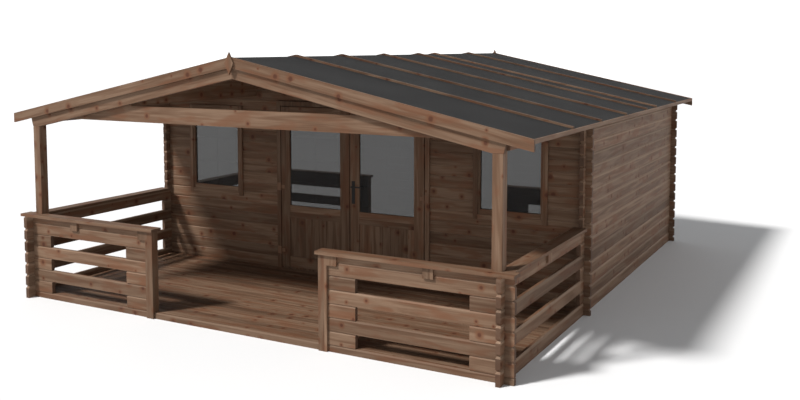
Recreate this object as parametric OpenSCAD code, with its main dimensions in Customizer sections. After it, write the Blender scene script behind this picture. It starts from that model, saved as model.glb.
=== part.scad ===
// Log garden cabin with a roofed veranda, on level ground.
// Notched logs make the walls and the railings, and a low gable roof covers both.
// X runs across the front, Y from front to back and Z up. The origin is the bottom centre.

/* [Logs] */
// Height of one course of logs
course = 120; // [110:1:130]
// Thickness of a log
log_t = 40; // [34:1:46]
// Length of a log end past the crossing wall
log_end = 65; // [50:1:110]
// Depth of the bevel on a log end
end_bevel = 20; // [10:1:30]
// Height of the bevel on a log end
end_bevel_h = 18; // [8:1:24]
// Depth of the bevels along the edges of a log
groove = 8; // [4:1:10]
// Height of the bevel on the upper edge of a log
edge_up = 13; // [6:1:18]
// Height of the bevel on the lower edge of a log
edge_low = 4; // [2:1:8]

/* [Room] */
// Width over the outer faces of the side walls
room_w = 5260; // [5000:10:5600]
// Depth over the outer faces of the front and back walls
room_d = 3880; // [3400:10:4400]
// Courses in a side wall, with the eave log on top
side_courses = 16; // [16:1:17]
// Thickness of the floor boards
floor_t = 27; // [20:1:34]
// Width of a floor bearer
bearer_w = 60; // [40:1:90]
// Distance between floor bearers
bearer_gap = 600; // [400:10:800]
// Bearers on each side of the middle one
bearer_pairs = 4; // [2:1:4]

/* [Veranda] */
// Depth from the front of the front railing to the front wall
veranda_d = 2050; // [1700:10:2600]
// Clear width between the front railings
entrance_w = 1880; // [1600:10:2400]
// Length of a railing log end past the crossing railing
rail_end = 82; // [50:1:110]
// Courses in a railing
rail_courses = 7; // [5:2:7]
// Distance from the outer end of a front railing to its gaps
gap_start = 375; // [240:5:450]
// Distance from the inner end of a front railing to its gaps
gap_stop = 355; // [240:5:450]
// Distance from the front end of a side railing to its gaps
side_gap_start = 310; // [240:5:450]
// Distance from the rear end of a side railing to its gaps
side_gap_stop = 55; // [40:5:400]
// Width of the post at the inner end of a front railing
end_post_w = 85; // [60:1:120]
// How far that post stands in front of the logs and behind them
end_post_proud = 20; // [10:1:30]
// Thickness of the railing cap
cap_t = 28; // [20:1:40]
// How far the cap reaches past both faces of the logs
cap_lap = 45; // [30:1:60]
// How far the cap reaches past the log ends
cap_end_lap = 10; // [5:1:60]
// How far the cap reaches past the post at the entrance
cap_in_lap = 20; // [10:1:60]
// Width of a cleat under the cap
cleat_w = 95; // [60:1:120]
// Height of a cleat
cleat_h = 90; // [70:1:150]
// Thickness of a cleat
cleat_t = 20; // [14:1:40]
// Distance of the outer cleat from the middle of the front
cleat_x = 1980; // [1700:10:2200]
// Width and depth of a corner post
post_w = 90; // [80:2:120]

/* [Roof] */
// Rise of the roof for each unit of run
slope = 0.21; // [0.18:0.01:0.25]
// Reach of the roof past the side walls
eave_lap = 215; // [140:5:260]
// Reach of the roof past the back wall
rear_lap = 200; // [120:10:320]
// Setback of the rafters from the front of the railing
rafter_setback = 40; // [40:1:60]
// Plumb thickness of the roof boards
board_t = 18; // [14:1:24]
// Plumb thickness of the felt
felt_t = 4; // [2:1:6]
// Width of a batten
batten_w = 40; // [30:1:60]
// Plumb height of a batten
batten_h = 18; // [10:1:30]
// Thickness of a rafter and of the tie beam
truss_t = 45; // [40:1:45]
// Plumb depth of a rafter
rafter_h = 170; // [140:1:180]
// Depth of the tie beam
tie_h = 154; // [120:1:180]
// Drop of the tie beam's underside below the wall top
tie_drop = 52; // [20:1:60]
// Width of a purlin
purlin_w = 70; // [50:2:90]
// Plumb depth of the ridge purlin
ridge_h = 140; // [100:1:180]
// Distance of a side purlin from the ridge
purlin_x = 1300; // [1100:10:1500]
// Thickness of a barge board
barge_t = 25; // [18:1:30]
// Plumb depth of a barge board
barge_h = 96; // [80:1:120]
// Rise of a barge board above the felt
barge_up = 6; // [3:1:20]
// Thickness of the trim along the eaves
trim_t = 20; // [12:1:30]
// Height of the trim along the eaves
trim_h = 34; // [28:1:60]
// Width of the pointed board at the ridge
finial_w = 70; // [50:2:100]
// Height of that board
finial_h = 200; // [160:2:240]
// Thickness of that board
finial_t = 20; // [12:1:30]
// Rise of its tip above the barge boards
finial_up = 42; // [30:1:70]

/* [Doors] */
// Width of a door leaf
leaf_w = 905; // [800:1:940]
// Thickness of a door leaf
leaf_t = 40; // [36:1:46]
// Gap between a leaf and its frame
leaf_gap = 5; // [5:1:8]
// Gap between the two leaves
meeting_gap = 8; // [8:1:12]
// Thickness of a jamb
jamb_t = 31; // [24:1:40]
// Thickness of the door head
head_t = 60; // [40:1:70]
// Height of the door sill
sill_h = 80; // [70:1:90]
// Overlap of the door stop behind the leaves
stop_lap = 10; // [6:1:14]
// Width of the casing boards
casing_w = 50; // [40:1:70]
// Thickness of the casing boards of doors and windows
casing_t = 20; // [14:1:26]
// Strip of jamb that shows inside the casing
reveal = 6; // [3:1:10]
// Width of a door stile
stile_w = 117; // [100:1:130]
// Height of the top rail
top_rail = 70; // [60:1:110]
// Height of the bottom rail
bottom_rail = 120; // [90:1:150]
// Height of the lock rail
lock_rail = 138; // [90:1:160]
// Height of the lower panel
panel_h = 452; // [380:1:500]
// Depth of the panel below the face of the stiles
panel_sink = 10; // [5:1:14]

/* [Windows] */
// Distance of a window from the middle of the front
window_x = 1862; // [1800:2:1920]
// Width of the window casing
window_w = 790; // [730:2:840]
// Height of the window casing
window_h = 1056; // [960:2:1080]
// Distance from the top of the door frame down to the window casing
window_head = 79; // [60:1:120]
// Lap of the casing over the wall
window_lap = 40; // [25:1:50]
// Width of the casing board round a window
window_board = 50; // [44:1:60]
// Width of the glass that shows
light_w = 644; // [500:2:650]
// Height of the glass that shows
light_h = 850; // [600:2:870]
// Setback of the sash behind the casing
sash_back = 12; // [6:1:16]
// Thickness of a pane
glass_t = 4; // [3:1:6]
// Depth of the groove that holds a pane
glass_bite = 8; // [5:1:12]

/* [Ironwork] */
// Radius of a hinge pin
pin_r = 4; // [3:0.5:5]
// Radius of a hinge knuckle
knuckle_r = 8; // [7:0.5:9]
// Height of the middle knuckle
knuckle_h = 40; // [30:1:60]
// Height of the upper and lower knuckles
knuckle_end_h = 22; // [16:1:30]
// Gap between knuckles
knuckle_gap = 0.5; // [0.3:0.1:1]
// Gap between a knuckle and the casing
knuckle_clear = 1; // [0.8:0.1:1.5]
// Running clearance of pins and spindles
run_clear = 0.05; // [0.03:0.01:0.08]
// Thickness of a hinge flap
flap_t = 4; // [3:0.5:5]
// Length of a hinge flap
flap_l = 50; // [36:1:70]
// Height of the door handle above the ground
handle_z = 1070; // [950:5:1150]
// Distance of the handle from the meeting edge of the leaf
handle_set = 45; // [40:1:60]
// Width of a handle plate
plate_w = 40; // [34:1:60]
// Height of a handle plate
plate_h = 250; // [160:5:280]
// Thickness of a handle plate
plate_t = 4; // [3:0.5:6]
// Distance from the spindle down to the middle of a plate
plate_drop = 65; // [0:5:80]
// Radius of the handle spindle
spindle_r = 6; // [5:0.5:8]
// Reach of the lever in front of the leaf
lever_reach = 50; // [45:1:70]
// Length of the lever
lever_l = 135; // [90:1:150]
// Thickness of the lever
lever_t = 14; // [10:1:18]
// Radius of the hub of the lever
hub_r = 9; // [8:0.5:12]

/* [Hidden] */
$fn = 48;

// Clearance between sloped faces that rest on each other
seat = 0.2;
// Gap at the ridge between the battens of the two slopes
batten_split = 2;
// Extra length that lets a cut pass clear through a face
cut = 10;
// Places of the battens, measured from the front of the roof
batten_places = [1000, 1850, 2760, 3630, 4090, 5150];
// Heights of the hinges on a door leaf, as shares of the leaf
hinge_places = [0.1, 0.5, 0.9];

// Places across the front
side_out = room_w / 2;
side_in = side_out - log_t;
cross_end = side_out + log_end;
rail_cross_end = side_out + rail_end;
roof_half = side_out + eave_lap;
board_half = roof_half - trim_t;

// Places from front to back
depth = rail_end + veranda_d + room_d + rear_lap + finial_t;
rail_front = rail_end - depth / 2;
rail_back = rail_front + log_t;
front_out = rail_front + veranda_d;
front_in = front_out + log_t;
back_out = front_out + room_d;
back_in = back_out - log_t;
rail_tip = rail_front - rail_end;
wall_tip = front_out - log_end;
rear_tip = back_out + log_end;
rafter_front = rail_front + rafter_setback;
rafter_back = rafter_front + truss_t;
roof_rear = back_out + rear_lap - barge_t;
post_back = rafter_front + post_w;

// Heights
half = course / 2;
quarter = course / 4;
deck_top = half;
wall_top = course * side_courses;
eave_bottom = wall_top - course;
rail_top = course * rail_courses;
split_z = wall_top + half;
tie_bottom = wall_top - tie_drop;
tie_top = tie_bottom + tie_h;
gable_half = side_out - (split_z - wall_top) / slope;
tie_shoulder = side_out - (tie_top - wall_top) / slope;

// Doors
leaf_in = meeting_gap / 2;
leaf_out = leaf_in + leaf_w;
jamb_in = leaf_out + leaf_gap;
jamb_out = jamb_in + jamb_t;
head_z = split_z - head_t;
leaf_bottom = sill_h + leaf_gap;
leaf_top = head_z - leaf_gap;
leaf_h = leaf_top - leaf_bottom;
casing_front = front_out - casing_t;
leaf_back = casing_front + leaf_t;
stop_front = leaf_back + leaf_gap;
glass_bottom = leaf_bottom + bottom_rail + panel_h + lock_rail;
glass_top = leaf_top - top_rail;
hinge_y = casing_front - knuckle_clear - knuckle_r;
handle_x = leaf_in + handle_set;
plate_z = handle_z - plate_drop;

// Windows
window_z = split_z - window_head - window_h;
window_mid = window_z + window_h / 2;
hole_w = window_w - 2 * window_lap;
hole_h = window_h - 2 * window_lap;

wood = "#876b59";
dark_wood = "#6f5748";
grey_felt = "#3f4040";
iron = "#2b2a29";
pane = "#8fa0a5";

// Height of the carrying edges under the roof boards, at a distance from the ridge
function seat_z(x) = wall_top + slope * (side_out - abs(x));
// Underside of the roof boards
function board_z(x) = seat_z(x) + seat;
// Top of the felt
function felt_z(x) = board_z(x) + board_t + seat + felt_t;

// Joints between courses in walls that run across, and in walls that run back
function cross_joints(top) = [for (z = [half : course : top]) if (z < top) z];
function side_joints(top) = [for (z = [course : course : top]) if (z < top) z];

// Bevelled end of a stack of logs at u, from the bottom joint up; inward is 1 or -1
function end_up(u, inward, joints) = [
    for (z = joints) each [
        [u, z - end_bevel_h], [u + inward * end_bevel, z], [u, z + end_bevel_h]
    ]
];
function end_down(u, inward, joints) = let (points = end_up(u, inward, joints)) [
    for (i = [len(points) - 1 : -1 : 0]) points[i]
];

// Extrudes an elevation drawn in X and Z, from y0 back
module run_x(y0, t) {
    translate([0, y0 + t, 0])
        rotate([90, 0, 0])
            linear_extrude(t) children();
}

// Extrudes an elevation drawn in Y and Z, from x0 to the right
module run_y(x0, t) {
    translate([x0, 0, 0])
        rotate([90, 0, 90])
            linear_extrude(t) children();
}

module area(u0, u1, z0, z1) {
    translate([u0, z0]) square([u1 - u0, z1 - z0]);
}

module box(x0, x1, y0, y1, z0, z1) {
    translate([x0, y0, z0]) cube([x1 - x0, y1 - y0, z1 - z0]);
}

module diamonds(faces, joints) {
    for (f = faces, z = joints)
        polygon([[f - groove, z], [f, z - edge_up], [f + groove, z], [f, z + edge_low]]);
}

// Stack of logs across the front or back, with the edges of each log bevelled
module logs_x(y0, joints) {
    difference() {
        run_x(y0, log_t) children();
        run_y(-roof_half, 2 * roof_half) diamonds([y0, y0 + log_t], joints);
    }
}

// Stack of logs along the left or right side
module logs_y(x0, joints) {
    difference() {
        run_y(x0, log_t) children();
        run_x(rail_tip - cut, rear_tip - rail_tip + 2 * cut) diamonds([x0, x0 + log_t], joints);
    }
}

// Notches of a wall across, where the side logs pass through it
module cross_notches(top) {
    for (x = [-side_out, side_in], z = [quarter : course : top])
        area(x, x + log_t, z, z + half);
}

// Notches of a side wall at y, where the logs across pass through it
module side_notches(places, top) {
    for (y = places, z = [0 : course : top])
        area(y, y + log_t, z - quarter, z + quarter);
}

module mirror_x(side) {
    mirror([side < 0 ? 1 : 0, 0, 0]) children();
}

// Floor

module floor_bearers() {
    color(dark_wood)
        for (i = [-bearer_pairs : bearer_pairs], run = [[rail_back, front_out], [front_in, back_in]])
            box(i * bearer_gap - bearer_w / 2, i * bearer_gap + bearer_w / 2, run[0], run[1],
                0, deck_top - floor_t);
}

module room_floor() {
    color(wood) box(-side_in, side_in, front_in, back_in, deck_top - floor_t, deck_top);
}

module veranda_deck() {
    color(wood) box(-side_in, side_in, rail_back, front_out, deck_top - floor_t, deck_top);
}

// Half log that carries the front railings and edges the deck
module front_sill_log() {
    color(wood)
        logs_x(rail_front, [half])
            difference() {
                area(-rail_cross_end, rail_cross_end, 0, half);
                cross_notches(half);
            }
}

// Walls

// Right half of the front wall beside the doorway, with its window hole
module front_side_elevation() {
    joints = cross_joints(wall_top);
    difference() {
        polygon(concat(
            [[jamb_out, 0], [cross_end, 0]],
            end_up(cross_end, -1, joints),
            [[cross_end, seat_z(cross_end)], [gable_half, split_z], [jamb_out, split_z]]
        ));
        cross_notches(wall_top);
        area(window_x - hole_w / 2, window_x + hole_w / 2,
            window_z + window_lap, window_z + window_lap + hole_h);
    }
}

module front_wall(side) {
    color(wood)
        mirror_x(side)
            logs_x(front_out, cross_joints(split_z + course)) front_side_elevation();
}

module front_wall_left() {
    front_wall(-1);
}

module front_wall_right() {
    front_wall(1);
}

// Holes for the purlins under the slope of a gable
module purlin_notches() {
    for (x = [-purlin_x, purlin_x])
        area(x - purlin_w / 2, x + purlin_w / 2, tie_top, seat_z(0));
    area(-purlin_w / 2, purlin_w / 2, seat_z(0) - ridge_h, seat_z(0) + cut);
}

module front_gable() {
    color(wood)
        logs_x(front_out, cross_joints(seat_z(0)))
            difference() {
                polygon([[-gable_half, split_z], [gable_half, split_z], [0, seat_z(0)]]);
                purlin_notches();
            }
}

module back_wall() {
    joints = cross_joints(wall_top);
    color(wood)
        logs_x(back_in, cross_joints(seat_z(0)))
            difference() {
                polygon(concat(
                    [[-cross_end, 0], [cross_end, 0]],
                    end_up(cross_end, -1, joints),
                    [[cross_end, seat_z(cross_end)], [0, seat_z(0)], [-cross_end, seat_z(cross_end)]],
                    end_down(-cross_end, 1, joints)
                ));
                cross_notches(wall_top);
                purlin_notches();
            }
}

// Side wall up to the eave log
module side_wall(side) {
    joints = side_joints(eave_bottom);
    color(wood)
        mirror_x(side)
            logs_y(side_in, side_joints(wall_top))
                difference() {
                    polygon(concat(
                        [[wall_tip, 0], [rear_tip, 0]],
                        end_up(rear_tip, -1, joints),
                        [[rear_tip, eave_bottom], [wall_tip, eave_bottom]],
                        end_down(wall_tip, 1, joints)
                    ));
                    side_notches([front_out, back_in], eave_bottom);
                }
}

module left_wall() {
    side_wall(-1);
}

module right_wall() {
    side_wall(1);
}

// Top log of a side wall, which runs on over the veranda to the rafters
module eave_log(side) {
    color(wood)
        mirror_x(side)
            logs_y(side_in, [eave_bottom])
                difference() {
                    area(rafter_back, rear_tip, eave_bottom, wall_top);
                    side_notches([front_out, back_in], wall_top);
                }
}

module eave_logs() {
    for (side = [-1, 1])
        eave_log(side);
}

// Railings

// Open courses between the logs of a railing, from the first gap up
module rail_gaps(u0, u1, first) {
    for (z = [first : 2 * course : rail_top - course])
        area(u0, u1, z, z + course);
}

module side_railing(side) {
    joints = side_joints(rail_top);
    color(wood)
        mirror_x(side)
            logs_y(side_in, joints)
                difference() {
                    polygon(concat(
                        [[rail_tip, 0], [wall_tip, 0], [wall_tip, rail_top], [rail_tip, rail_top]],
                        end_down(rail_tip, 1, joints)
                    ));
                    side_notches([rail_front], rail_top);
                    rail_gaps(rail_tip + side_gap_start, wall_tip - side_gap_stop, course);
                }
}

module left_railing() {
    side_railing(-1);
}

module right_railing() {
    side_railing(1);
}

module front_railing(side) {
    joints = [for (z = cross_joints(rail_top)) if (z > half) z];
    start = entrance_w / 2 + end_post_w;
    color(wood)
        mirror_x(side)
            logs_x(rail_front, cross_joints(rail_top))
                difference() {
                    polygon(concat(
                        [[start, half], [rail_cross_end, half]],
                        end_up(rail_cross_end, -1, joints),
                        [[rail_cross_end, rail_top], [start, rail_top]]
                    ));
                    cross_notches(rail_top);
                    rail_gaps(entrance_w / 2 + gap_stop, rail_cross_end - gap_start, half);
                }
}

module front_left_railing() {
    front_railing(-1);
}

module front_right_railing() {
    front_railing(1);
}

// Post at the inner end of a front railing, standing on the half log and in front of it
module end_post(side) {
    front = rail_front - end_post_proud;
    back = rail_back + end_post_proud;
    color(wood)
        mirror_x(side)
            run_y(entrance_w / 2, end_post_w)
                polygon([
                    [front, 0], [rail_front, 0], [rail_front, half], [back, half],
                    [back, rail_top], [front, rail_top]
                ]);
}

module end_posts() {
    for (side = [-1, 1])
        end_post(side);
}

// Cap over a front railing, notched round the corner post
module front_cap(side) {
    color(wood)
        mirror_x(side)
            difference() {
                box(entrance_w / 2 - cap_in_lap, rail_cross_end + cap_end_lap,
                    rail_front - cap_lap, rail_back + cap_lap, rail_top, rail_top + cap_t);
                box(side_in - post_w, side_in, rafter_front, post_back,
                    rail_top - cut, rail_top + cap_t + cut);
            }
}

module front_caps() {
    for (side = [-1, 1])
        front_cap(side);
}

module side_cap(side) {
    color(wood)
        mirror_x(side)
            difference() {
                box(side_in - cap_lap, side_out + cap_lap, rail_back + cap_lap, wall_tip,
                    rail_top, rail_top + cap_t);
                box(side_in - post_w, side_in, rafter_front, post_back,
                    rail_top - cut, rail_top + cap_t + cut);
            }
}

module side_caps() {
    for (side = [-1, 1])
        side_cap(side);
}

// Blocks under the caps, on the outer faces of the railings
module cap_cleats() {
    post_cleat_x = entrance_w / 2 + end_post_w + cleat_w / 2;
    side_mid = (rail_front + wall_tip) / 2;
    color(wood)
        for (side = [-1, 1])
            mirror_x(side) {
                for (x = [post_cleat_x, cleat_x])
                    box(x - cleat_w / 2, x + cleat_w / 2,
                        rail_front - cleat_t, rail_front, rail_top - cleat_h, rail_top);
                box(side_out, side_out + cleat_t, side_mid - cleat_w / 2, side_mid + cleat_w / 2,
                    rail_top - cleat_h, rail_top);
            }
}

// Corner post: its front half carries the rafter and its rear half the tie beam
module corner_post(side) {
    post_in = side_in - post_w;
    color(wood)
        mirror_x(side) {
            run_x(rafter_front, truss_t)
                polygon([
                    [post_in, deck_top], [side_in, deck_top],
                    [side_in, seat_z(side_in) - rafter_h - seat],
                    [post_in, seat_z(post_in) - rafter_h - seat]
                ]);
            box(post_in, side_in, rafter_back, post_back, deck_top, tie_bottom);
        }
}

module corner_posts() {
    for (side = [-1, 1])
        corner_post(side);
}

// Roof

// Sloped board in X and Z, from the ridge side x0 to the eave side x1
module sloped(x0, x1, z0, z1, rise, h) {
    polygon([[x0, z0 + rise], [x1, z1 + rise], [x1, z1 + rise + h], [x0, z0 + rise + h]]);
}

module front_rafter(side) {
    color(wood)
        mirror_x(side)
            run_x(rafter_front, truss_t)
                sloped(0, side_out, seat_z(0), seat_z(side_out), -rafter_h, rafter_h);
}

module front_rafter_left() {
    front_rafter(-1);
}

module front_rafter_right() {
    front_rafter(1);
}

module tie_beam() {
    color(wood)
        run_x(rafter_back, post_w - truss_t)
            polygon([
                [-side_in, tie_bottom], [side_in, tie_bottom], [side_in, seat_z(side_in)],
                [tie_shoulder, tie_top], [-tie_shoulder, tie_top], [-side_in, seat_z(side_in)]
            ]);
}

module ridge_purlin() {
    run_x(rafter_back, roof_rear - rafter_back)
        polygon([
            [-purlin_w / 2, seat_z(0) - ridge_h], [purlin_w / 2, seat_z(0) - ridge_h],
            [purlin_w / 2, seat_z(purlin_w / 2)], [0, seat_z(0)],
            [-purlin_w / 2, seat_z(purlin_w / 2)]
        ]);
}

// Side purlin, carried by the tie beam and the gables
module side_purlin(side) {
    x0 = purlin_x - purlin_w / 2;
    x1 = purlin_x + purlin_w / 2;
    mirror_x(side)
        run_x(rafter_back, roof_rear - rafter_back)
            polygon([[x0, tie_top], [x1, tie_top], [x1, seat_z(x1)], [x0, seat_z(x0)]]);
}

module roof_purlins() {
    color(wood) {
        ridge_purlin();
        for (side = [-1, 1])
            side_purlin(side);
    }
}

module roof_boards(side) {
    color(wood)
        mirror_x(side)
            run_x(rafter_front, roof_rear - rafter_front)
                sloped(0, board_half, board_z(0), board_z(board_half), 0, board_t);
}

module roof_boards_left() {
    roof_boards(-1);
}

module roof_boards_right() {
    roof_boards(1);
}

module roof_felt() {
    color(grey_felt)
        run_x(rafter_front, roof_rear - rafter_front)
            polygon([
                [-board_half, felt_z(board_half) - felt_t], [0, felt_z(0) - felt_t],
                [board_half, felt_z(board_half) - felt_t], [board_half, felt_z(board_half)],
                [0, felt_z(0)], [-board_half, felt_z(board_half)]
            ]);
}

module roof_battens() {
    ridge_x = batten_split / 2;
    color(wood)
        for (side = [-1, 1], place = batten_places)
            mirror_x(side)
                run_x(rafter_front + place - batten_w / 2, batten_w)
                    sloped(ridge_x, board_half, felt_z(ridge_x), felt_z(board_half), seat, batten_h);
}

module barge(side, y0) {
    color(wood)
        mirror_x(side)
            run_x(y0, barge_t)
                sloped(0, roof_half, felt_z(0), felt_z(roof_half), barge_up - barge_h, barge_h);
}

module front_barge_left() {
    barge(-1, rafter_front - barge_t);
}

module front_barge_right() {
    barge(1, rafter_front - barge_t);
}

module rear_barge_left() {
    barge(-1, roof_rear);
}

module rear_barge_right() {
    barge(1, roof_rear);
}

// Pointed boards over the joint of the barge boards, front and rear
module finials() {
    tip = felt_z(0) + barge_up + finial_up;
    color(wood)
        for (y = [rafter_front - barge_t - finial_t, roof_rear + barge_t])
            run_x(y, finial_t)
                polygon([
                    [0, tip - finial_h], [finial_w / 2, tip - finial_h / 2],
                    [0, tip], [-finial_w / 2, tip - finial_h / 2]
                ]);
}

module eave_trims() {
    top = felt_z(board_half);
    color(wood)
        for (side = [-1, 1])
            mirror_x(side)
                box(board_half, roof_half, rafter_front, roof_rear, top - trim_h, top);
}

// Doors

// Frame between the walls beside the doorway, with a stop behind the leaves
module door_frame() {
    color(wood)
        difference() {
            box(-jamb_out, jamb_out, front_out, front_in, 0, split_z);
            box(-jamb_in, jamb_in, front_out - cut, stop_front, sill_h, head_z);
            box(stop_lap - leaf_out, leaf_out - stop_lap, front_out - cut, front_in + cut,
                leaf_bottom + stop_lap, leaf_top - stop_lap);
        }
}

module door_casing() {
    inner = jamb_in + reveal;
    color(wood)
        difference() {
            box(-inner - casing_w, inner + casing_w, casing_front, front_out,
                deck_top, head_z + reveal + casing_w);
            box(-inner, inner, casing_front - cut, front_out + cut, deck_top - cut, head_z + reveal);
        }
}

// Place of a pane: its visible width and height plus the groove, at the middle of a frame
module pane_block(x0, x1, z0, z1, y_mid) {
    box(x0 - glass_bite, x1 + glass_bite, y_mid - glass_t / 2, y_mid + glass_t / 2,
        z0 - glass_bite, z1 + glass_bite);
}

module leaf_pane() {
    pane_block(leaf_in + stile_w, leaf_out - stile_w, glass_bottom, glass_top,
        casing_front + leaf_t / 2);
}

module spindle_hole(r) {
    translate([handle_x, leaf_back + cut, handle_z])
        rotate([90, 0, 0])
            cylinder(r = r, h = leaf_t + 2 * cut);
}

// Leaf with two stiles, three rails, a sunk panel below and an opening for the glass
module door_leaf() {
    x0 = leaf_in + stile_w;
    x1 = leaf_out - stile_w;
    panel_z = leaf_bottom + bottom_rail;
    difference() {
        box(leaf_in, leaf_out, casing_front, leaf_back, leaf_bottom, leaf_top);
        box(x0, x1, casing_front - cut, leaf_back + cut, glass_bottom, glass_top);
        leaf_pane();
        box(x0, x1, casing_front - cut, casing_front + panel_sink, panel_z, panel_z + panel_h);
        box(x0, x1, leaf_back - panel_sink, leaf_back + cut, panel_z, panel_z + panel_h);
    }
}

module left_door_leaf() {
    color(wood) mirror_x(-1) door_leaf();
}

module right_door_leaf() {
    color(wood)
        difference() {
            door_leaf();
            spindle_hole(2 * spindle_r);
        }
}

module left_door_glass() {
    color(pane) mirror_x(-1) leaf_pane();
}

module right_door_glass() {
    color(pane) leaf_pane();
}

// Hinge axis of the right leaf at the middle of each hinge
module at_hinges() {
    for (share = hinge_places)
        translate([jamb_in, hinge_y, leaf_bottom + share * leaf_h]) children();
}

// Fixed half of a hinge: a flap on the casing, two outer knuckles and the pin
module hinge_fixed() {
    inner = knuckle_h / 2 + knuckle_gap;
    outer = inner + knuckle_end_h;
    flap_y = casing_front - hinge_y;
    box(knuckle_r + knuckle_clear, flap_l, flap_y - flap_t, flap_y, -outer, outer);
    for (z = [-outer, inner]) {
        box(0, flap_l, flap_y - flap_t, flap_y, z, z + knuckle_end_h);
        translate([0, 0, z]) cylinder(r = knuckle_r, h = knuckle_end_h);
    }
    translate([0, 0, -outer]) cylinder(r = pin_r, h = 2 * outer);
}

// Moving half of a hinge: a flap on the leaf and the middle knuckle
module hinge_moving() {
    flap_y = casing_front - hinge_y;
    difference() {
        union() {
            box(-flap_l, 0, flap_y - flap_t, flap_y, -knuckle_h / 2, knuckle_h / 2);
            translate([0, 0, -knuckle_h / 2]) cylinder(r = knuckle_r, h = knuckle_h);
        }
        translate([0, 0, -knuckle_h / 2 - cut])
            cylinder(r = pin_r + run_clear, h = knuckle_h + 2 * cut);
    }
}

module hinge_pins() {
    color(iron)
        for (side = [-1, 1])
            mirror_x(side) at_hinges() hinge_fixed();
}

module left_knuckles() {
    color(iron) mirror_x(-1) at_hinges() hinge_moving();
}

module right_knuckles() {
    color(iron) at_hinges() hinge_moving();
}

// Plates on both faces of the right leaf, bored for the spindle
module handle_plates() {
    color(iron)
        difference() {
            for (y = [casing_front - plate_t, leaf_back])
                box(handle_x - plate_w / 2, handle_x + plate_w / 2, y, y + plate_t,
                    plate_z - plate_h / 2, plate_z + plate_h / 2);
            spindle_hole(spindle_r + run_clear);
        }
}

// Levers outside and inside, on one spindle
module door_lever() {
    outside = casing_front - lever_reach;
    inside = leaf_back + lever_reach;
    color(iron) {
        translate([handle_x, inside, handle_z])
            rotate([90, 0, 0])
                cylinder(r = spindle_r, h = inside - outside);
        for (y = [outside, inside - lever_t])
            run_x(y, lever_t)
                translate([handle_x, handle_z]) {
                    translate([0, -lever_t / 2]) square([lever_l, lever_t]);
                    circle(r = hub_r);
                    translate([lever_l, 0]) circle(r = lever_t / 2);
                }
    }
}

// Windows

module ring_y(w, h, in_w, in_h, y0, y1) {
    difference() {
        box(window_x - w / 2, window_x + w / 2, y0, y1, window_mid - h / 2, window_mid + h / 2);
        box(window_x - in_w / 2, window_x + in_w / 2, y0 - cut, y1 + cut,
            window_mid - in_h / 2, window_mid + in_h / 2);
    }
}

module window_pane() {
    pane_block(window_x - light_w / 2, window_x + light_w / 2,
        window_mid - light_h / 2, window_mid + light_h / 2, (casing_front + sash_back + front_in) / 2);
}

// Casing on the face of the wall, with the sash set back inside it
module window_frame() {
    difference() {
        union() {
            ring_y(window_w, window_h, window_w - 2 * window_board, window_h - 2 * window_board,
                casing_front, front_out);
            ring_y(hole_w, hole_h, light_w, light_h, casing_front + sash_back, front_in);
        }
        window_pane();
    }
}

module window_frames() {
    color(wood)
        for (side = [-1, 1])
            mirror_x(side) window_frame();
}

module window_glass() {
    color(pane)
        for (side = [-1, 1])
            mirror_x(side) window_pane();
}

floor_bearers();
room_floor();
veranda_deck();
front_sill_log();
front_wall_left();
front_wall_right();
front_gable();
left_wall();
right_wall();
back_wall();
eave_logs();
left_railing();
right_railing();
front_left_railing();
front_right_railing();
side_caps();
front_caps();
cap_cleats();
end_posts();
corner_posts();
front_rafter_left();
front_rafter_right();
tie_beam();
roof_purlins();
roof_boards_left();
roof_boards_right();
roof_felt();
roof_battens();
front_barge_left();
front_barge_right();
rear_barge_left();
rear_barge_right();
finials();
eave_trims();
door_frame();
door_casing();
left_door_leaf();
right_door_leaf();
left_door_glass();
right_door_glass();
hinge_pins();
left_knuckles();
right_knuckles();
handle_plates();
door_lever();
window_frames();
window_glass();
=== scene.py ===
import math

import bpy
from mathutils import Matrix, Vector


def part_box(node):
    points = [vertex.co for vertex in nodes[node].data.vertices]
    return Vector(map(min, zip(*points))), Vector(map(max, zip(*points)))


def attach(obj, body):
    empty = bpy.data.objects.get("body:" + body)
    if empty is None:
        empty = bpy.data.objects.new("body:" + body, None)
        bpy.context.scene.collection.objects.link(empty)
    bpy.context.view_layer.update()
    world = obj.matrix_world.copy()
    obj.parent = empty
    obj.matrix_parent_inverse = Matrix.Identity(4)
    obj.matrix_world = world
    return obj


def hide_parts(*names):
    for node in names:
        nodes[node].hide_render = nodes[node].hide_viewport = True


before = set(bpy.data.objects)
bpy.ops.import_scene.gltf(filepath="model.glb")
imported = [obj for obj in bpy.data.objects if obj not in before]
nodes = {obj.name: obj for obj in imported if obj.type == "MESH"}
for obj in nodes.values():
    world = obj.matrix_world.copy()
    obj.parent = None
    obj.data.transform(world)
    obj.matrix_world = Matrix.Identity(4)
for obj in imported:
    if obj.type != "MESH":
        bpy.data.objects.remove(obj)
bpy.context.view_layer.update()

# The viewpoint stands in front of the right-hand corner, at about the height of the ridge.
# It looks down by a few degrees, and its shift keeps the posts almost upright.
camera_data = bpy.data.cameras.new("viewpoint")
camera_data.lens = 40.869
camera_data.shift_y = -0.1
camera = bpy.data.objects.new("viewpoint", camera_data)
camera.location = (5.1532, -9.4004, 2.5944)
camera.rotation_euler = (math.radians(90 - 4.6408), 0, math.radians(28.33))
bpy.context.scene.collection.objects.link(camera)
bpy.context.scene.camera = camera

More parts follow.
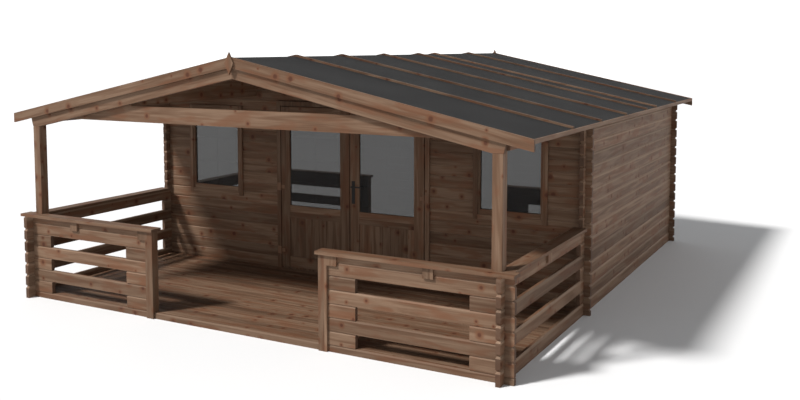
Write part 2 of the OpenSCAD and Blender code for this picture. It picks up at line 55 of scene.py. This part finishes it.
# The cabin stands on a plain pale studio floor, large enough to fill the frame.
# A broad sun from the front left lights it softly, with a white surround that is
# brighter low down, most of all on the right.
bpy.ops.object.select_all(action="DESELECT")
bpy.ops.mesh.primitive_plane_add(size=120, location=(0, 0, 0))
ground = bpy.context.object
ground.name = "studio_floor"
ground_paint = bpy.data.materials.new("studio_floor")
ground_paint.use_nodes = True
ground_shader = ground_paint.node_tree.nodes["Principled BSDF"]
ground_shader.inputs["Base Color"].default_value = (0.655, 0.667, 0.684, 1)
ground_shader.inputs["Roughness"].default_value = 0.9
ground.data.materials.append(ground_paint)

sun_data = bpy.data.lights.new("studio_sun", "SUN")
sun_data.energy = 5.15
sun_data.angle = math.radians(9)
sun_data.color = (1.0, 0.975, 0.945)
sun = bpy.data.objects.new("studio_sun", sun_data)
sun.rotation_euler = (math.radians(42.0), 0, math.radians(-36.9))
bpy.context.scene.collection.objects.link(sun)

surround = bpy.data.worlds.new("studio_surround")
surround.use_nodes = True
sky = surround.node_tree
sky_light = sky.nodes["Background"]
sky_light.inputs["Color"].default_value = (1.0, 1.0, 1.0, 1)
sky_place = sky.nodes.new("ShaderNodeTexCoord")
sky_axes = sky.nodes.new("ShaderNodeSeparateXYZ")
sky_fade = sky.nodes.new("ShaderNodeMapRange")
sky_fade.inputs["From Min"].default_value = 0.15
sky_fade.inputs["From Max"].default_value = 0.75
sky_fade.inputs["To Min"].default_value = 1.29
sky_fade.inputs["To Max"].default_value = 0.16
right_side = sky.nodes.new("ShaderNodeMapRange")
right_side.inputs["From Min"].default_value = 0.2
right_side.inputs["From Max"].default_value = 0.9
right_side.inputs["To Max"].default_value = 1.5
low_down = sky.nodes.new("ShaderNodeMapRange")
low_down.inputs["From Min"].default_value = 0.3
low_down.inputs["From Max"].default_value = 0.0
right_fill = sky.nodes.new("ShaderNodeMath")
right_fill.operation = "MULTIPLY_ADD"
sky.links.new(sky_place.outputs["Generated"], sky_axes.inputs[0])
sky.links.new(sky_axes.outputs["Z"], sky_fade.inputs["Value"])
sky.links.new(sky_axes.outputs["Z"], low_down.inputs["Value"])
sky.links.new(sky_axes.outputs["X"], right_side.inputs["Value"])
sky.links.new(right_side.outputs["Result"], right_fill.inputs[0])
sky.links.new(low_down.outputs["Result"], right_fill.inputs[1])
sky.links.new(sky_fade.outputs["Result"], right_fill.inputs[2])
sky.links.new(right_fill.outputs[0], sky_light.inputs["Strength"])
bpy.context.scene.world = surround
bpy.context.scene.view_settings.view_transform = "Standard"

# Every wooden piece is planed spruce under a thin brown stain: pale sapwood beside browner
# heartwood, redder patches, dark knots, a painted highlight along the upper edge of each log and sawn ends
# that drink more stain.
# Each log or board has its own shade and its own run of grain.
SAPWOOD = (0.148, 0.095, 0.063)
HEARTWOOD = (0.078, 0.041, 0.0235)
RED_STAIN = (0.104, 0.045, 0.0235)
KNOT = (0.052, 0.019, 0.011)
# Colour of the painted highlight along the upper edge of each log, where its bevel would catch the light.
PAINTED_EDGE_HIGHLIGHT = (0.205, 0.142, 0.100)
SAWN_END = (0.062, 0.035, 0.023)
GRAIN_TURN = {"x": (0, 0, 0), "y": (0, 0, -90), "z": (0, 90, 0)}
STREAKS = {"stretch": (2.4, 80, 80), "detail": 4, "distortion": 0.3}
BANDS = {"stretch": (1.1, 17, 17), "detail": 3, "distortion": 0.9}
PATCHES = {"stretch": (2.8, 12, 12), "detail": 2, "distortion": 0.0}
STREAK_RANGE = (0.30, 0.70)
STREAK_SHARE = 0.3
BAND_RANGE = (0.34, 0.66)
RED_RANGE = (0.48, 0.66)
RED_SHARE = 0.65
KNOT_SPACING = 0.17
KNOT_R = 0.021
KNOT_SIZES = (0.40, 1.35)
KNOT_WOBBLE = 0.012
KNOT_CORE = (1.15 * KNOT_R, 0.45 * KNOT_R)
KNOT_RING = (2.6 * KNOT_R, 0.9 * KNOT_R)
KNOT_SHARE = 0.8
KNOTS_LEFT_OUT = 0.56
# Where the painted highlight sits within each course, and how strongly it shows.
EDGE_HIGHLIGHT_RANGE = (1.3, 0.8)
EDGE_HIGHLIGHT_SHARE = 2.6
END_RANGE = (0.75, 0.95)
END_SHARE = 0.8
PIECE_SHADES = (0.80, 1.20)
PIECE_OFFSET = 7.0
WOOD_ROUGHNESS = (0.50, 0.75)


def softwood(name, grain, lay="z", pitch=0.12, start=0.0, tilt=0.0, tone=1.0, edge_highlight=0.0):
    material = bpy.data.materials.new(name)
    material.use_nodes = True
    tree = material.node_tree
    shader = tree.nodes["Principled BSDF"]

    def add(kind, **settings):
        node = tree.nodes.new(kind)
        for key, value in settings.items():
            setattr(node, key, value)
        return node

    def put(value, socket):
        if isinstance(value, bpy.types.NodeSocket):
            tree.links.new(value, socket)
        else:
            socket.default_value = value

    def number(operation, *values):
        node = add("ShaderNodeMath", operation=operation)
        for value, socket in zip(values, node.inputs):
            put(value, socket)
        return node.outputs[0]

    def vector(operation, *values):
        node = add("ShaderNodeVectorMath", operation=operation)
        for value, socket in zip(values, node.inputs):
            put(value, socket)
        return node.outputs[0]

    def scaled(value, factor):
        node = add("ShaderNodeVectorMath", operation="SCALE")
        put(value, node.inputs[0])
        put(factor, node.inputs["Scale"])
        return node.outputs[0]

    def axes(value):
        node = add("ShaderNodeSeparateXYZ")
        put(value, node.inputs[0])
        return node.outputs

    def fade(value, low, high):
        node = add("ShaderNodeMapRange", interpolation_type="SMOOTHSTEP")
        put(value, node.inputs["Value"])
        node.inputs["From Min"].default_value = low
        node.inputs["From Max"].default_value = high
        return node.outputs["Result"]

    def spread(value, low, high):
        return number("ADD", low, number("MULTIPLY", value, high - low))

    def mix(factor, first, second):
        node = add("ShaderNodeMix", data_type="RGBA")
        put(factor, node.inputs["Factor"])
        for value, socket in ((first, node.inputs["A"]), (second, node.inputs["B"])):
            put(value if isinstance(value, bpy.types.NodeSocket) else (*value, 1), socket)
        return node.outputs["Result"]

    def stained(colour, stain, amount, share):
        return mix(number("MULTIPLY", amount, share), colour, stain)

    place = add("ShaderNodeTexCoord")
    across = axes(place.outputs["Object"])["XYZ".index(lay.upper())]
    piece_place = number("DIVIDE", number("SUBTRACT", across, start), pitch)
    own = add("ShaderNodeTexWhiteNoise", noise_dimensions="1D")
    put(number("FLOOR", piece_place), own.inputs["W"])

    turned = add("ShaderNodeMapping")
    turn = [math.radians(angle) for angle in GRAIN_TURN[grain]]
    turned.inputs["Rotation"].default_value = (turn[0], turn[1] + tilt, turn[2])
    put(place.outputs["Object"], turned.inputs["Vector"])
    along = vector("ADD", turned.outputs[0], scaled(own.outputs["Color"], PIECE_OFFSET))

    def grain_noise(stretch, detail, distortion):
        node = add("ShaderNodeTexNoise")
        put(vector("MULTIPLY", along, stretch), node.inputs["Vector"])
        node.inputs["Scale"].default_value = 1.0
        node.inputs["Detail"].default_value = detail
        node.inputs["Distortion"].default_value = distortion
        return node.outputs["Fac"]

    streaks = grain_noise(**STREAKS)
    bands = grain_noise(**BANDS)
    patches = grain_noise(**PATCHES)

    parts = axes(along)
    surface = add("ShaderNodeCombineXYZ")
    put(parts["X"], surface.inputs["X"])
    put(number("ADD", parts["Y"], parts["Z"]), surface.inputs["Y"])
    knots = add("ShaderNodeTexVoronoi", voronoi_dimensions="2D")
    put(surface.outputs[0], knots.inputs["Vector"])
    knots.inputs["Scale"].default_value = 1 / KNOT_SPACING
    draw = axes(knots.outputs["Color"])
    shown = number("GREATER_THAN", draw[0], KNOTS_LEFT_OUT)
    reach = number("DIVIDE", number("MULTIPLY", knots.outputs["Distance"], KNOT_SPACING),
                   spread(draw[1], *KNOT_SIZES))
    reach = number("ADD", reach, number("MULTIPLY", number("SUBTRACT", bands, 0.5), KNOT_WOBBLE))
    core = number("MULTIPLY", fade(reach, *KNOT_CORE), shown)
    ring = number("MULTIPLY", fade(reach, *KNOT_RING), shown)

    paleness = number("ADD", number("MULTIPLY", fade(streaks, *STREAK_RANGE), STREAK_SHARE),
                      number("MULTIPLY", fade(bands, *BAND_RANGE), 1 - STREAK_SHARE))
    colour = mix(paleness, HEARTWOOD, SAPWOOD)
    colour = stained(colour, RED_STAIN, fade(patches, *RED_RANGE), RED_SHARE)
    colour = stained(colour, RED_STAIN, ring, KNOT_SHARE)
    colour = stained(colour, KNOT, core, KNOT_SHARE)
    # Painted highlight: the top of each course is lightened, as if its bevel caught the light.
    if edge_highlight:
        highlight_low, highlight_high = [1 - reach_in * edge_highlight for reach_in in EDGE_HIGHLIGHT_RANGE]
        painted_highlight = fade(number("FRACT", piece_place), highlight_low, highlight_high)
        colour = stained(colour, PAINTED_EDGE_HIGHLIGHT, painted_highlight, EDGE_HIGHLIGHT_SHARE * edge_highlight)
    facing = axes(vector("ABSOLUTE", place.outputs["Normal"]))
    sawn = fade(facing["XYZ".index(grain.upper())], *END_RANGE)
    colour = stained(colour, SAWN_END, sawn, END_SHARE)
    shade = number("MULTIPLY", spread(own.outputs["Value"], *PIECE_SHADES), tone)
    put(scaled(colour, shade), shader.inputs["Base Color"])

    put(spread(streaks, *WOOD_ROUGHNESS), shader.inputs["Roughness"])
    shader.inputs["Specular IOR Level"].default_value = 0.1
    relief = add("ShaderNodeBump")
    relief.inputs["Strength"].default_value = 0.35
    relief.inputs["Distance"].default_value = 0.0015
    put(number("SUBTRACT", number("ADD", streaks, bands), core), relief.inputs["Height"])
    put(relief.outputs["Normal"], shader.inputs["Normal"])
    return material


def finish_nodes(material, names):
    for node_name in names:
        mesh = nodes[node_name].data
        mesh.materials.clear()
        mesh.materials.append(material)


# The walls are stacks of tongued logs, notched into each other at the corners.
# Courses of the walls across stand half a log lower than those of the side walls.
LOG_COURSE = 0.12
# The upper edge of each log carries a painted highlight, stronger on the side walls than on the walls across.
FRONT_EDGE_HIGHLIGHT = 0.11
SIDE_EDGE_HIGHLIGHT = 0.2
cross_log = softwood("cross_log", "x", "z", LOG_COURSE, LOG_COURSE / 2, edge_highlight=FRONT_EDGE_HIGHLIGHT)
side_log = softwood("side_log", "y", "z", LOG_COURSE, 0.0, edge_highlight=SIDE_EDGE_HIGHLIGHT)
finish_nodes(cross_log, ["front_wall_left", "front_wall_right", "front_gable", "back_wall"])
finish_nodes(side_log, ["left_wall", "right_wall", "eave_logs"])

# Rough bearers lie on the ground and carry the floor of the room and the veranda deck.
# Both floors are narrow planed boards with eased edges, nailed down side by side.
BEARER_PITCH = 0.6
BEARER_TONE = 0.8
BOARD_PITCH = 0.1
BOARD_GAP = 0.004
BOARD_EASE = 0.003


def pick(*pieces):
    bpy.ops.object.select_all(action="DESELECT")
    for piece in pieces:
        piece.select_set(True)
    bpy.context.view_layer.objects.active = pieces[0]


def eased_board(name, low, high, ease):
    bpy.ops.object.select_all(action="DESELECT")
    middle = [(a + b) / 2 for a, b in zip(low, high)]
    bpy.ops.mesh.primitive_cube_add(size=1, location=middle)
    board = bpy.context.object
    board.name = name
    board.scale = [b - a for a, b in zip(low, high)]
    bpy.ops.object.transform_apply(location=True, rotation=True, scale=True)
    bpy.ops.object.mode_set(mode="EDIT")
    bpy.ops.mesh.select_all(action="SELECT")
    bpy.ops.mesh.bevel(offset=ease, segments=2, affect="EDGES")
    bpy.ops.object.mode_set(mode="OBJECT")
    return board


def repeat(board, count, step):
    row = board.modifiers.new("row", "ARRAY")
    row.use_relative_offset = False
    row.use_constant_offset = True
    row.constant_offset_displace = step
    row.count = count
    pick(board)
    bpy.ops.object.modifier_apply(modifier=row.name)
    return board


def set_up(piece, material, body):
    piece.data.materials.clear()
    piece.data.materials.append(material)
    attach(piece, body)


bearer_wood = softwood("bearer_wood", "y", "x", BEARER_PITCH, BEARER_PITCH / 2, tone=BEARER_TONE)
finish_nodes(bearer_wood, ["floor_bearers"])
for floor_node, boards_name in (("veranda_deck", "deck_boards"), ("room_floor", "floor_boards")):
    low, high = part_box(floor_node)
    count = round((high[1] - low[1]) / BOARD_PITCH)
    pitch = (high[1] - low[1]) / count
    first_high = (high[0], low[1] + pitch - BOARD_GAP, high[2])
    boards = repeat(eased_board(boards_name, low, first_high, BOARD_EASE), count, (0, pitch, 0))
    board_wood = softwood(boards_name, "x", "y", pitch, low[1] - BOARD_GAP / 2)
    set_up(boards, board_wood, "cabin")
    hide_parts(floor_node)

# The railings are the same logs with open courses between them, under flat caps.
# Short cleats below the caps and square posts at the entrance stiffen them.
ONE_PIECE = {"pitch": 9, "start": -4.5}
LEFT_AND_RIGHT = {"pitch": 9, "start": 0}
CLEAT_PITCH = 0.4
POST_PITCH = 0.5
finish_nodes(cross_log, ["front_sill_log", "front_left_railing", "front_right_railing"])
finish_nodes(side_log, ["left_railing", "right_railing"])
finish_nodes(softwood("front_cap_wood", "x", "x", **ONE_PIECE), ["front_caps"])
finish_nodes(softwood("side_cap_wood", "y", "x", **LEFT_AND_RIGHT), ["side_caps"])
finish_nodes(softwood("cleat_wood", "z", "x", CLEAT_PITCH, 0), ["cap_cleats"])
post_wood = softwood("post_wood", "z", "x", POST_PITCH, 0)
finish_nodes(post_wood, ["end_posts"])

# Two square corner posts carry the rafters and, behind these, the tie beam.
# The rafter sits on a level seat, so the front half of a post is cut off lower.
ROOF_SLOPE = 0.21
RAFTER_H = 0.17
POST_EASE = 0.004
SAW_CUT = 0.0005


def join(name, pieces):
    pick(*pieces)
    bpy.ops.object.join()
    pieces[0].name = name
    return pieces[0]


def saw_across(board, place, facing):
    pick(board)
    bpy.ops.object.mode_set(mode="EDIT")
    bpy.ops.mesh.select_all(action="SELECT")
    bpy.ops.mesh.bisect(plane_co=place, plane_no=facing)
    bpy.ops.object.mode_set(mode="OBJECT")


def shift_points(board, chosen, move):
    pick(board)
    bpy.ops.object.mode_set(mode="EDIT")
    bpy.ops.mesh.select_all(action="DESELECT")
    bpy.ops.object.mode_set(mode="OBJECT")
    for vertex in board.data.vertices:
        vertex.select = chosen(vertex.co)
    bpy.ops.object.mode_set(mode="EDIT")
    bpy.ops.transform.translate(value=move)
    bpy.ops.object.mode_set(mode="OBJECT")


corner_low, corner_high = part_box("corner_posts")
corner_w = corner_high[1] - corner_low[1]
rafter_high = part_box("front_rafter_right")[1]
seat_x = corner_high[0] - corner_w
seat_height = rafter_high[2] - ROOF_SLOPE * seat_x - RAFTER_H
step_y = rafter_high[1]
posts = []
for outer_x in (corner_low[0], seat_x):
    post = eased_board("corner_post", (outer_x, corner_low[1], corner_low[2]),
                       (outer_x + corner_w, corner_high[1], corner_high[2]), POST_EASE)
    saw_across(post, (0, step_y, 0), (0, 1, 0))
    saw_across(post, (0, step_y - SAW_CUT, 0), (0, 1, 0))
    shift_points(post, lambda point: point.z > seat_height and point.y < step_y - SAW_CUT / 2,
                 (0, 0, seat_height - corner_high[2]))
    posts.append(post)
posts = join("corner_post_timbers", posts)
set_up(posts, post_wood, "cabin")
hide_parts("corner_posts")

# The roof rests on two front rafters, a tie beam and purlins that run through the gables.
# Each rafter has a level seat over its post and a nose that is cut back below.
# The purlins, under the roof, carry no stain and are paler.
ROOF_TILT = math.atan(ROOF_SLOPE)
NOSE_CUT = 0.035
END_REACH = 0.02
SLOPE_TONE = 0.98
BARE_TONE = 1.8
PURLIN_PITCH = 1.0
for side_name, side in (("left", -1), ("right", 1)):
    rafter_node = "front_rafter_" + side_name
    low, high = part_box(rafter_node)
    run = high[0] - low[0]
    nose_middle = low[2] + RAFTER_H / 2
    rafter = eased_board(rafter_node + "_timber", (low[0], low[1], high[2] - RAFTER_H), high, POST_EASE)
    shift_points(rafter, lambda point: abs(point.x) > run - END_REACH, (0, 0, -ROOF_SLOPE * run))
    saw_across(rafter, (side * seat_x, 0, 0), (1, 0, 0))
    shift_points(rafter, lambda point: abs(point.x) > run - END_REACH and point.z < nose_middle,
                 (-side * NOSE_CUT, 0, ROOF_SLOPE * (run - seat_x)))
    slope_wood = softwood(side_name + "_slope_wood", "x", "y", tilt=-side * ROOF_TILT, tone=SLOPE_TONE,
                          **ONE_PIECE)
    set_up(rafter, slope_wood, "cabin")
    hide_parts(rafter_node)
    finish_nodes(slope_wood, ["front_barge_" + side_name, "rear_barge_" + side_name])
finish_nodes(softwood("tie_wood", "x", "z", **ONE_PIECE), ["tie_beam"])
purlin_wood = softwood("purlin_wood", "y", "x", PURLIN_PITCH, PURLIN_PITCH / 2, tone=BARE_TONE)
finish_nodes(purlin_wood, ["roof_purlins"])

# The roof boards run from the ridge to the eaves, with eased edges that show from below.
# They are bare spruce, nailed to the purlins and to the top logs of the side walls.
for side_name, side in (("left", -1), ("right", 1)):
    slope_node = "roof_boards_" + side_name
    low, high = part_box(slope_node)
    run = high[0] - low[0]
    fall = ROOF_SLOPE * run
    thick = high[2] - low[2] - fall
    count = round((high[1] - low[1]) / BOARD_PITCH)
    pitch = (high[1] - low[1]) / count
    board = eased_board(slope_node + "_row", (low[0], low[1], high[2] - thick),
                        (high[0], low[1] + pitch - SAW_CUT, high[2]), BOARD_EASE)
    shift_points(board, lambda point: abs(point.x) > run - END_REACH, (0, 0, -fall))
    repeat(board, count, (0, pitch, 0))
    board_wood = softwood(side_name + "_roof_board", "x", "y", pitch, low[1], tilt=-side * ROOF_TILT,
                          tone=BARE_TONE)
    set_up(board, board_wood, "cabin")
    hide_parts(slope_node)

# Mineral felt covers the boards, held down by battens that run down both slopes.
# Trims along the eaves cover the edges.
BATTEN_PITCH = 0.5
BATTEN_TONE = 0.75
felt = bpy.data.materials.new("mineral_felt")
felt.use_nodes = True
felt_tree = felt.node_tree
felt_shader = felt_tree.nodes["Principled BSDF"]
felt_shader.inputs["Roughness"].default_value = 0.92
felt_shader.inputs["Specular IOR Level"].default_value = 0.1
felt_place = felt_tree.nodes.new("ShaderNodeTexCoord")
felt_grit = felt_tree.nodes.new("ShaderNodeTexNoise")
felt_grit.inputs["Scale"].default_value = 420
felt_grit.inputs["Detail"].default_value = 2
felt_cloud = felt_tree.nodes.new("ShaderNodeTexNoise")
felt_cloud.inputs["Scale"].default_value = 1.7
felt_cloud.inputs["Detail"].default_value = 4
felt_blend = felt_tree.nodes.new("ShaderNodeMix")
felt_blend.inputs["Factor"].default_value = 0.3
felt_tones = felt_tree.nodes.new("ShaderNodeValToRGB")
felt_tones.color_ramp.elements[0].position = 0.38
felt_tones.color_ramp.elements[0].color = (0.0125, 0.0125, 0.013, 1)
felt_tones.color_ramp.elements[1].position = 0.62
felt_tones.color_ramp.elements[1].color = (0.026, 0.026, 0.0265, 1)
felt_relief = felt_tree.nodes.new("ShaderNodeBump")
felt_relief.inputs["Strength"].default_value = 0.5
felt_relief.inputs["Distance"].default_value = 0.001
felt_tree.links.new(felt_place.outputs["Object"], felt_grit.inputs["Vector"])
felt_tree.links.new(felt_place.outputs["Object"], felt_cloud.inputs["Vector"])
felt_tree.links.new(felt_grit.outputs["Fac"], felt_blend.inputs["A"])
felt_tree.links.new(felt_cloud.outputs["Fac"], felt_blend.inputs["B"])
felt_tree.links.new(felt_blend.outputs["Result"], felt_tones.inputs["Fac"])
felt_tree.links.new(felt_tones.outputs["Color"], felt_shader.inputs["Base Color"])
felt_tree.links.new(felt_grit.outputs["Fac"], felt_relief.inputs["Height"])
felt_tree.links.new(felt_relief.outputs["Normal"], felt_shader.inputs["Normal"])
finish_nodes(felt, ["roof_felt"])
finish_nodes(softwood("batten_wood", "x", "y", BATTEN_PITCH, 0, tone=BATTEN_TONE), ["roof_battens"])
finish_nodes(softwood("trim_wood", "y", "x", **LEFT_AND_RIGHT), ["eave_trims"])

# A pointed board covers the joint of the barge boards at each end of the ridge.
# It is sawn to a long diamond, and its edges are eased by hand.
POINT_W = 0.098
POINT_T = 0.02
POINT_EASE = 0.003
low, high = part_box("finials")
middle_z = (low[2] + high[2]) / 2
points = []
for face_y in (low[1], high[1] - POINT_T):
    bpy.ops.object.select_all(action="DESELECT")
    bpy.ops.mesh.primitive_circle_add(vertices=4, radius=1, fill_type="NGON",
                                      location=(0, face_y, middle_z), rotation=(math.pi / 2, 0, 0))
    point = bpy.context.object
    point.scale = (POINT_W / 2, (high[2] - low[2]) / 2, 1)
    bpy.ops.object.transform_apply(location=True, rotation=True, scale=True)
    bpy.ops.object.mode_set(mode="EDIT")
    bpy.ops.mesh.select_all(action="SELECT")
    bpy.ops.mesh.extrude_region_move(TRANSFORM_OT_translate={"value": (0, POINT_T, 0)})
    bpy.ops.mesh.select_all(action="SELECT")
    bpy.ops.mesh.normals_make_consistent(inside=False)
    bpy.ops.mesh.bevel(offset=POINT_EASE, segments=2, affect="EDGES")
    bpy.ops.object.mode_set(mode="OBJECT")
    points.append(point)
points = join("ridge_points", points)
set_up(points, softwood("point_wood", "z", "y", **ONE_PIECE), "cabin")
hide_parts("finials")

# The door frame stands between the logs, with casing boards nailed over the joint.
# Its jambs and stops are planed spruce.
JOINERY_LAY = {"pitch": 0.35, "start": 0.02}
upright_wood = softwood("upright_wood", "z", "x", **JOINERY_LAY)
level_wood = softwood("level_wood", "x", "z", **JOINERY_LAY)
finish_nodes(upright_wood, ["door_frame", "door_casing"])

# Each door leaf has two stiles and three rails round a pane and a panel of upright boards.
# Thin bars behind the pane divide it into small lights.
STILE = 0.117
TOP_RAIL = 0.07
BOTTOM_RAIL = 0.12
LOCK_RAIL = 0.138
PANEL_H = 0.452
PANEL_SINK = 0.01
PANEL_BOARDS = 7
DOOR_LIGHTS = (2, 4)
BAR_W = 0.022
BAR_T = 0.012
BAR_GAP = 0.001
BAR_STEP = 0.001
LEAF_EASE = 0.002


def glazing_bars(name, low, high, columns, rows, glass_back):
    front = glass_back + BAR_GAP
    back = front + BAR_T
    bars = []
    for i in range(1, columns):
        x = low[0] + (high[0] - low[0]) * i / columns
        bars.append(eased_board(name, (x - BAR_W / 2, front, low[1]),
                                (x + BAR_W / 2, back, high[1]), LEAF_EASE))
    for i in range(1, rows):
        z = low[1] + (high[1] - low[1]) * i / rows
        bars.append(eased_board(name, (low[0], front + BAR_STEP, z - BAR_W / 2),
                                (high[0], back - BAR_STEP, z + BAR_W / 2), LEAF_EASE))
    return join(name, bars)


for side_name in ("left", "right"):
    low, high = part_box(side_name + "_door_leaf")
    body = side_name + "_leaf"
    inner = (low[0] + STILE, high[0] - STILE)
    panel_z = low[2] + BOTTOM_RAIL
    lock_z = panel_z + PANEL_H
    pane_z = (lock_z + LOCK_RAIL, high[2] - TOP_RAIL)
    uprights = [eased_board("stile", (x0, low[1], low[2]), (x1, high[1], high[2]), LEAF_EASE)
                for x0, x1 in ((low[0], inner[0]), (inner[1], high[0]))]
    width = (inner[1] - inner[0]) / PANEL_BOARDS
    for i in range(PANEL_BOARDS):
        x = inner[0] + i * width
        uprights.append(eased_board("panel_board", (x, low[1] + PANEL_SINK, panel_z),
                                    (x + width - SAW_CUT, high[1] - PANEL_SINK, lock_z), 2 * LEAF_EASE))
    rails = [eased_board("rail", (inner[0], low[1], z0), (inner[1], high[1], z1), LEAF_EASE)
             for z0, z1 in ((low[2], panel_z), (lock_z, pane_z[0]), (pane_z[1], high[2]))]
    uprights = join(body + "_uprights", uprights)
    rails = join(body + "_rails", rails)
    set_up(uprights, upright_wood, body)
    set_up(rails, level_wood, body)
    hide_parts(side_name + "_door_leaf")
    glass_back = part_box(side_name + "_door_glass")[1][1]
    bars = glazing_bars(body + "_bars", (inner[0], pane_z[0]), (inner[1], pane_z[1]), *DOOR_LIGHTS, glass_back)
    set_up(bars, upright_wood, body)

# The fixed windows have a casing nailed over the logs and a deeper sash inside it.
# The sash holds one pane, with thin bars behind it.
FRAME_W = 0.79
PANE_W = 0.644
WINDOW_LIGHTS = (2, 3)
WINDOW_BOARD = 0.05
WINDOW_LAP = 0.04
CASING_T = 0.02
SASH_BACK = 0.012
GLASS_BITE = 0.008
frames_low, frames_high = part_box("window_frames")
panes_low, panes_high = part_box("window_glass")
y0, y1 = frames_low[1], frames_high[1]
z0, z1 = frames_low[2], frames_high[2]
face_y = y0 + CASING_T
sash_y = y0 + SASH_BACK
hole_z = (z0 + WINDOW_LAP, z1 - WINDOW_LAP)
light_z = (panes_low[2] + GLASS_BITE, panes_high[2] - GLASS_BITE)
for side_name, x0 in (("left", frames_low[0]), ("right", frames_high[0] - FRAME_W)):
    x1 = x0 + FRAME_W
    hole_x = (x0 + WINDOW_LAP, x1 - WINDOW_LAP)
    light_x = ((x0 + x1 - PANE_W) / 2, (x0 + x1 + PANE_W) / 2)
    casing_x = (x0 + WINDOW_BOARD, x1 - WINDOW_BOARD)
    uprights = [eased_board("casing", (a, y0, z0), (b, face_y, z1), LEAF_EASE)
                for a, b in ((x0, casing_x[0]), (casing_x[1], x1))]
    uprights += [eased_board("sash", (a, sash_y, hole_z[0]), (b, y1, hole_z[1]), LEAF_EASE)
                 for a, b in ((hole_x[0], light_x[0]), (light_x[1], hole_x[1]))]
    levels = [eased_board("casing", (casing_x[0], y0, a), (casing_x[1], face_y, b), LEAF_EASE)
              for a, b in ((z0, z0 + WINDOW_BOARD), (z1 - WINDOW_BOARD, z1))]
    levels += [eased_board("sash", (light_x[0], sash_y, a), (light_x[1], y1, b), LEAF_EASE)
               for a, b in ((hole_z[0], light_z[0]), (light_z[1], hole_z[1]))]
    uprights = join(side_name + "_window_uprights", uprights)
    levels = join(side_name + "_window_levels", levels)
    set_up(uprights, upright_wood, "cabin")
    set_up(levels, level_wood, "cabin")
    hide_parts("window_frames")
    bars = glazing_bars(side_name + "_window_bars", (light_x[0], light_z[0]), (light_x[1], light_z[1]),
                        *WINDOW_LIGHTS, panes_high[1])
    set_up(bars, upright_wood, "cabin")

# The panes are grey float glass with a film of dust, bedded in grooves of the leaves and sashes.
# They mirror the pale surround over the dark room.
glass = bpy.data.materials.new("float_glass")
glass.use_nodes = True
glass_shader = glass.node_tree.nodes["Principled BSDF"]
glass_shader.inputs["Base Color"].default_value = (0.12, 0.122, 0.122, 1)
glass_shader.inputs["Transmission Weight"].default_value = 0.8
glass_shader.inputs["IOR"].default_value = 1.7
glass_shader.inputs["Roughness"].default_value = 0.0
finish_nodes(glass, ["left_door_glass", "right_door_glass", "window_glass"])

# Each leaf hangs on three loose-pin hinges, painted brown to go with the stain.
# The handle plates and the lever of the right leaf are black iron with a satin coat.
BROWN_COAT = ((0.110, 0.055, 0.031), (0.170, 0.088, 0.050))
BLACK_COAT = ((0.006, 0.006, 0.006), (0.016, 0.015, 0.014))


def coated_iron(name, low_tone, high_tone):
    material = bpy.data.materials.new(name)
    material.use_nodes = True
    tree = material.node_tree
    shader = tree.nodes["Principled BSDF"]
    shader.inputs["Specular IOR Level"].default_value = 0.25
    place = tree.nodes.new("ShaderNodeTexCoord")
    coat = tree.nodes.new("ShaderNodeTexNoise")
    coat.inputs["Scale"].default_value = 180
    coat.inputs["Detail"].default_value = 4
    tones = tree.nodes.new("ShaderNodeValToRGB")
    tones.color_ramp.elements[0].color = (*low_tone, 1)
    tones.color_ramp.elements[1].color = (*high_tone, 1)
    gloss = tree.nodes.new("ShaderNodeMapRange")
    gloss.inputs["To Min"].default_value = 0.5
    gloss.inputs["To Max"].default_value = 0.75
    tree.links.new(place.outputs["Object"], coat.inputs["Vector"])
    tree.links.new(coat.outputs["Fac"], tones.inputs["Fac"])
    tree.links.new(coat.outputs["Fac"], gloss.inputs["Value"])
    tree.links.new(tones.outputs["Color"], shader.inputs["Base Color"])
    tree.links.new(gloss.outputs["Result"], shader.inputs["Roughness"])
    return material


finish_nodes(coated_iron("brown_iron", *BROWN_COAT), ["hinge_pins", "left_knuckles", "right_knuckles"])
finish_nodes(coated_iron("black_iron", *BLACK_COAT), ["handle_plates", "door_lever"])
